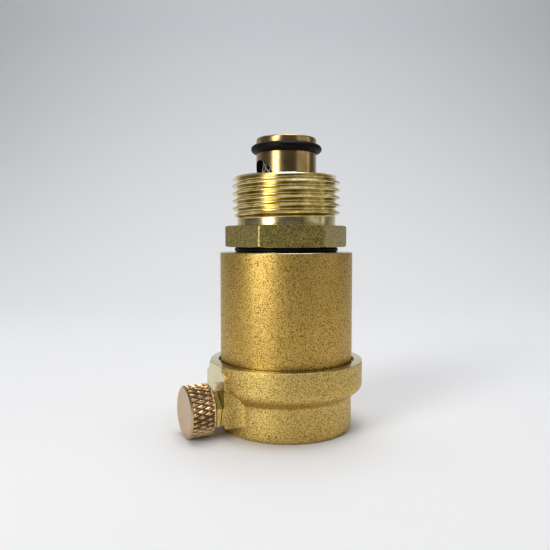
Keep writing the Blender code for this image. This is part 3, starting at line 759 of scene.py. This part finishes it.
def make_filter(look):
    """Two families of wires that wind opposite ways, each passing over and under the other."""
    bm = bmesh.new()
    low, high = WEAVE_Z
    sweep = (high - low) / math.tan(WEAVE_RISE) / WEAVE_R
    steps = 84
    for hand in (1, -1):
        for k in range(WEAVE_STARTS):
            over = WEAVE_DEPTH * hand * (1 if k % 2 else -1)
            points = []
            for i in range(steps + 1):
                t = i / steps
                angle = 2 * math.pi * k / WEAVE_STARTS + hand * sweep * t
                r = WEAVE_R + over * math.sin(sweep * t * WEAVE_STARTS)
                points.append((r * math.cos(angle), r * math.sin(angle), low + (high - low) * t))
            wire(bm, points, WEAVE_WIRE_R, 5)
    mesh = finish_mesh("filter_weave", bm, look, "plunger", 60)
    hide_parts("filter_mesh")


def make_ring(name, node, middle, section, height, look, body, flash):
    """A moulded seal ring; flash is the height of its mould line."""
    sides = 28
    flash_sharpness = 90
    profile = []
    for k in range(sides):
        turn = 2 * math.pi * k / sides
        out = section + flash * math.exp(-((turn - math.pi / 2) ** 2) * flash_sharpness)
        profile.append((middle + out * math.cos(turn), height - out * math.sin(turn)))
    ring = turned(name, profile, look, body, 144, closed=True, smooth_deg=60)
    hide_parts(node)


def knurl_radius(angle, r, z):
    """Diamond knurl: two families of V grooves that cross, leaving small flat-topped diamonds."""
    back, front = KNOB_X
    if z < back + KNURL_MARGIN or z > front - KNURL_MARGIN or r < KNOB_R - 0.02:
        return r
    deepest = 0.0
    for hand in (1, -1):
        turn = angle * KNURL_COUNT / (2 * math.pi) + hand * (z - back) / KNURL_PITCH
        away = abs(turn - round(turn))
        deepest = max(deepest, 1 - away / KNURL_GROOVE)
    inside = min(z - back - KNURL_MARGIN, front - KNURL_MARGIN - z)
    return r - KNURL_DEPTH * deepest * min(1.0, inside / KNURL_RUN_OUT)


def mark_groove_shade(obj, depth_of):
    """Stores how deep each vertex lies, 0 at the surface and 1 at the bottom, for the material's painted
    groove shade.
    """
    attribute = obj.data.attributes.new("hollow", "FLOAT", "POINT")
    for vertex in obj.data.vertices:
        attribute.data[vertex.index].value = min(1.0, max(0.0, depth_of(vertex.co)))


def make_knob(look, face_look):
    back, front = KNOB_X
    profile = [(0, front - 0.02), (KNOB_R - 0.75, front - 0.02), (KNOB_R - 0.62, front)]
    profile += [(KNOB_R - 0.5, front - 0.03), (KNOB_R - 0.02, front - 0.36), (KNOB_R, front - 0.42)]
    profile += [(KNOB_R, z) for z in spaced(front - KNURL_MARGIN, back + KNURL_MARGIN, KNURL_PITCH / 36)]
    profile += [(KNOB_R, back + 0.36), (KNOB_R - 0.3, back), (SHANK_R + 0.5, back), (SHANK_R, back - 0.1)]
    profile += [(SHANK_R, SHANK_END_X), (TIP_R, SHANK_END_X), (TIP_R, TIP_END_X), (0, TIP_END_X)]
    knob = turned(
        "vent_screw",
        profile,
        look,
        "knob",
        KNURL_COUNT * 16,
        matrix=VENT_AXIS,
        smooth_deg=24,
        radius=knurl_radius,
    )
    to_axis = VENT_AXIS.inverted()
    # The depth drives painted shade in the knurl's grooves.
    mark_groove_shade(knob, lambda point: (KNOB_R - (to_axis @ point).xy.length / MM) / KNURL_DEPTH)
    outward = VENT_FRAME @ Vector((1, 0, 0))

    def on_end(centre, normal):
        return abs(normal.dot(outward)) > 0.6

    mark_faces(knob, face_look, [on_end])
    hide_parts("vent_knob")


def make_nipple(look):
    low, high = NIPPLE_HEX_X
    corners = [NIPPLE_HEX_TURN + math.pi / 2 + math.pi / 3 * k for k in range(6)]
    bm = bmesh.new()
    extruded(bm, [(NIPPLE_HEX_R * math.cos(a), NIPPLE_HEX_R * math.sin(a)) for a in corners], low, high)
    hexagon = raw_object("outlet_nipple", bm, VENT_AXIS)
    lens_r = NIPPLE_HEX_R + 0.05
    lens = [(0, high), (NIPPLE_FACE_R, high), (lens_r, high - HEX_CHAMFER), (lens_r, low), (0, low)]
    chamfer = raw_turned("nipple_chamfer", lens, 96, VENT_AXIS)
    rod = [(0, low + 0.5), (NIPPLE_R, low + 0.5), (NIPPLE_R, NIPPLE_END_X), (0, NIPPLE_END_X)]
    stem = raw_turned("nipple_stem", rod, 64, VENT_AXIS)
    hole_high, hole_low = high + CLEAR, NIPPLE_END_X - CLEAR
    hole = [(0, hole_high), (NIPPLE_BORE_R, hole_high), (NIPPLE_BORE_R, hole_low), (0, hole_low)]
    bore = raw_turned("nipple_bore", hole, 64, VENT_AXIS)
    name, bm = combined(hexagon, [("INTERSECT", chamfer), ("UNION", stem), ("DIFFERENCE", bore)])
    nipple = finish_mesh(name, bm, look, "housing", 12)
    bevelled(nipple, 0.16, 3)
    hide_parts("vent_nipple")


def make_spring(look):
    bm = bmesh.new()
    low, high = SPRING_Z
    count = SPRING_TURNS * 40
    points = []
    for i in range(count + 1):
        angle = 2 * math.pi * SPRING_TURNS * i / count
        z = low + (high - low) * i / count
        points.append((SPRING_R * math.cos(angle), SPRING_R * math.sin(angle), z))
    wire(bm, points, SPRING_WIRE_R, 10)
    spring = finish_mesh("return_spring", bm, look, None, 60)
    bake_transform(spring)
    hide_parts("plunger_spring")


def paint_hidden(looks):
    """Gives each inner CAD piece that stays its material."""
    for node, look in looks.items():
        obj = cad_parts[node]
        obj.data.materials.clear()
        obj.data.materials.append(look)


# ---------------------------------------------------------------- studio


def stage_material(name, low, high):
    """A matt sweep of one paper with painted shade: darker and bluer with height towards the wall, and
    painted dark in front of the table for the unlit room.
    """
    look = Look(name, metallic=0.0, roughness=0.75)
    grain = look.noise(1.5, 2, 0.5)
    place = look.node("ShaderNodeSeparateXYZ", Vector=look.place)
    # Painted shade: darker and bluer with height.
    climb = look.math("MULTIPLY", place.outputs["Z"], 1 / WALL_SHADE_Z)
    base = look.ramp(climb, (0.0, low), (1.0, high))
    # Painted shade: the paper darkens in front, standing for the unlit room.
    start, end = DARK_ROOM_SHADE_Y
    ahead = look.math("MULTIPLY", look.math("SUBTRACT", place.outputs["Y"], start), 1 / (end - start))
    colour = look.mixed(look.ramp(ahead, (0.0, 0.0), (1.0, 1.0)), base, (0.05, 0.05, 0.05))
    return look.use(colour, None, look.bump(grain, 0.01, 0.05))


def make_stage():
    """Paper that lies flat, bends up behind the part and stands as a wall; sizes in metres."""
    half, front, back, height, bend = 1.6, -1.4, 0.75, 1.4, 0.5
    steps = 16
    line = [(front, 0.0), (back - bend, 0.0)]
    for k in range(1, steps + 1):
        turn = math.pi / 2 * k / steps
        line.append((back - bend + bend * math.sin(turn), bend - bend * math.cos(turn)))
    line.append((back, height))
    bm = bmesh.new()
    skin(bm, [[(x, y, z) for x in (-half, half)] for y, z in line], around=False)
    sweep = raw_object("studio_sweep", bm)
    sweep.data.shade_smooth()
    # Painted shade: one paper, its wall end darker and bluer than the floor.
    sweep.data.materials.append(stage_material("studio_paper", (0.88, 0.88, 0.89), (0.66, 0.69, 0.715)))


def area_light(name, at, towards, size, power):
    data = bpy.data.lights.new(name, "AREA")
    data.shape = "RECTANGLE"
    data.size, data.size_y = size
    data.energy = power
    lamp = bpy.data.objects.new(name, data)
    bpy.context.scene.collection.objects.link(lamp)
    lamp.location = at
    aim = Vector(towards) - Vector(at)
    lamp.rotation_euler = aim.to_track_quat("-Z", "Y").to_euler()


def make_lights():
    """Places and sizes in metres, power in watts; each light but the last aims at the part's middle."""
    middle = (0, 0, 0.035)
    area_light("key_softbox", (-0.34, -0.38, 0.25), middle, (0.26, 0.52), 1.3)
    area_light("key_core", (-0.335, -0.374, 0.23), middle, (0.11, 0.44), 0.62)
    area_light("top_softbox", (0.05, 0.05, 0.70), middle, (0.5, 0.45), 2.7)
    area_light("right_fill", (0.55, -0.30, 0.25), middle, (0.5, 0.4), 0.28)
    area_light("right_strip", (0.55, 0.01, 0.24), middle, (0.09, 0.40), 0.13)
    area_light("left_back", (-0.50, 0.30, 0.22), middle, (0.3, 0.40), 0.06)
    area_light("backdrop_wash", (0.0, 0.25, 0.75), (0, 0.8, 0.15), (0.9, 0.3), 1.6)
    world = bpy.data.worlds.new("studio_air")
    bpy.context.scene.world = world
    world.use_nodes = True
    background = world.node_tree.nodes["Background"]
    background.inputs["Color"].default_value = (0.9, 0.95, 1.0, 1)
    background.inputs["Strength"].default_value = 0.10


def make_camera():
    data = bpy.data.cameras.new("camera")
    data.sensor_width = 36
    data.lens = CAMERA_LENS
    data.clip_start = 0.005
    camera = bpy.data.objects.new("camera", data)
    bpy.context.scene.collection.objects.link(camera)
    camera.location = [v * MM for v in CAMERA_AT]
    camera.rotation_euler = (math.pi / 2 - CAMERA_DOWN, 0, 0)
    bpy.context.scene.camera = camera


def set_view():
    view = bpy.context.scene.view_settings
    view.view_transform = "Standard"
    view.look = "None"
    view.exposure = 0.0


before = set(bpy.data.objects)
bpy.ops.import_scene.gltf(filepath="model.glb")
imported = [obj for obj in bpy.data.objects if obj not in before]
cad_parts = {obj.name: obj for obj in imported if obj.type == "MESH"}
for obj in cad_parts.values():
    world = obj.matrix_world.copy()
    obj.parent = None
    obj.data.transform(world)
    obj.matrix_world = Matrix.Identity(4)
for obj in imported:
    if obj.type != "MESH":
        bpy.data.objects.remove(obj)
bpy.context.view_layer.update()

blasted = blasted_brass(
    "blasted_brass",
    hollows=(0.27, 0.155, 0.018),
    grains=(0.82, 0.555, 0.165),
)
# A lighter copy of blasted_brass for the cap: painted light, standing for the floor's bounce light on the
# cap's low parts.
cap_brass_painted_bounce = blasted_brass(
    "lighter_blasted_brass_painted_bounce",
    hollows=(0.31, 0.20, 0.032),
    grains=(0.90, 0.655, 0.235),
)
bright = turned_brass(
    "turned_brass",
    light=(0.88, 0.77, 0.43),
    dark=(0.46, 0.33, 0.085),
    rough=0.20,
)
faced = turned_brass(
    "faced_brass",
    light=(0.73, 0.655, 0.41),
    dark=(0.66, 0.57, 0.32),
    rough=0.17,
    marks=0.10,
)
copper = turned_brass(
    "turned_copper_alloy",
    light=(0.56, 0.40, 0.195),
    dark=(0.39, 0.24, 0.085),
    rough=0.22,
    marks=0.12,
)
# Near-black copper for the tube's bore: painted shade, the same metal as the tube.
bore_shade = turned_brass(
    "copper_bore_painted_shade",
    light=(0.05, 0.034, 0.018),
    dark=(0.025, 0.016, 0.008),
    rough=0.5,
    marks=0.3,
)
nipple_brass = turned_brass(
    "polished_brass",
    light=(1.0, 0.80, 0.34),
    dark=(0.96, 0.70, 0.24),
    rough=0.18,
    marks=4.0,
)
hexed = milled_brass(
    "milled_brass",
    dark=(0.13, 0.095, 0.016),
    light=(0.72, 0.57, 0.19),
    rough=0.34,
    speckle=0.25,
)
pink_face = milled_brass(
    "faced_knob_brass",
    dark=(0.52, 0.35, 0.19),
    light=(0.59, 0.415, 0.24),
    rough=0.28,
)
pink = milled_brass(
    "knurled_brass",
    dark=(0.62, 0.41, 0.21),
    light=(0.84, 0.60, 0.35),
    rough=0.26,
    # Painted shade deep in the knurl's grooves.
    hollow=(0.17, 0.09, 0.035),
)
seal = rubber()
wire_steel = steel("stainless_wire", 0.22)
woven_steel = steel("woven_wire", 0.4, metallic=0.2)
plate_steel = steel("stainless_plate", 0.3)
plastic = moulded_plastic()

make_cap(cap_brass_painted_bounce, faced)
make_chamber(blasted, faced)
make_fitting(bright, hexed)
make_plunger(copper, bore_shade)
make_filter(woven_steel)
make_ring("plunger_o_ring", "plunger_seal_ring", *PLUNGER_RING, seal, "plunger", flash=0.03)
make_ring("fitting_o_ring", "fitting_seal_ring", *FITTING_RING, seal, "fitting_lift_ring", flash=0.02)
make_knob(pink, pink_face)
make_nipple(nipple_brass)
make_spring(wire_steel)
paint_hidden(
    {
        "cap_seal_ring": seal,
        "knob_seal": seal,
        "valve_pad": seal,
        "valve_seat": bright,
        "lever_bracket": plate_steel,
        "bracket_screw_1": plate_steel,
        "bracket_screw_2": plate_steel,
        "lever_pin": plate_steel,
        "plunger_clip": plate_steel,
        "lever_arm": plate_steel,
        "pad_holder": plate_steel,
        "float_hook": plate_steel,
        "mesh_retainer": plastic,
        "float_cup": plastic,
        "float_lid": plastic,
    }
)
make_stage()
make_lights()
make_camera()
set_view()
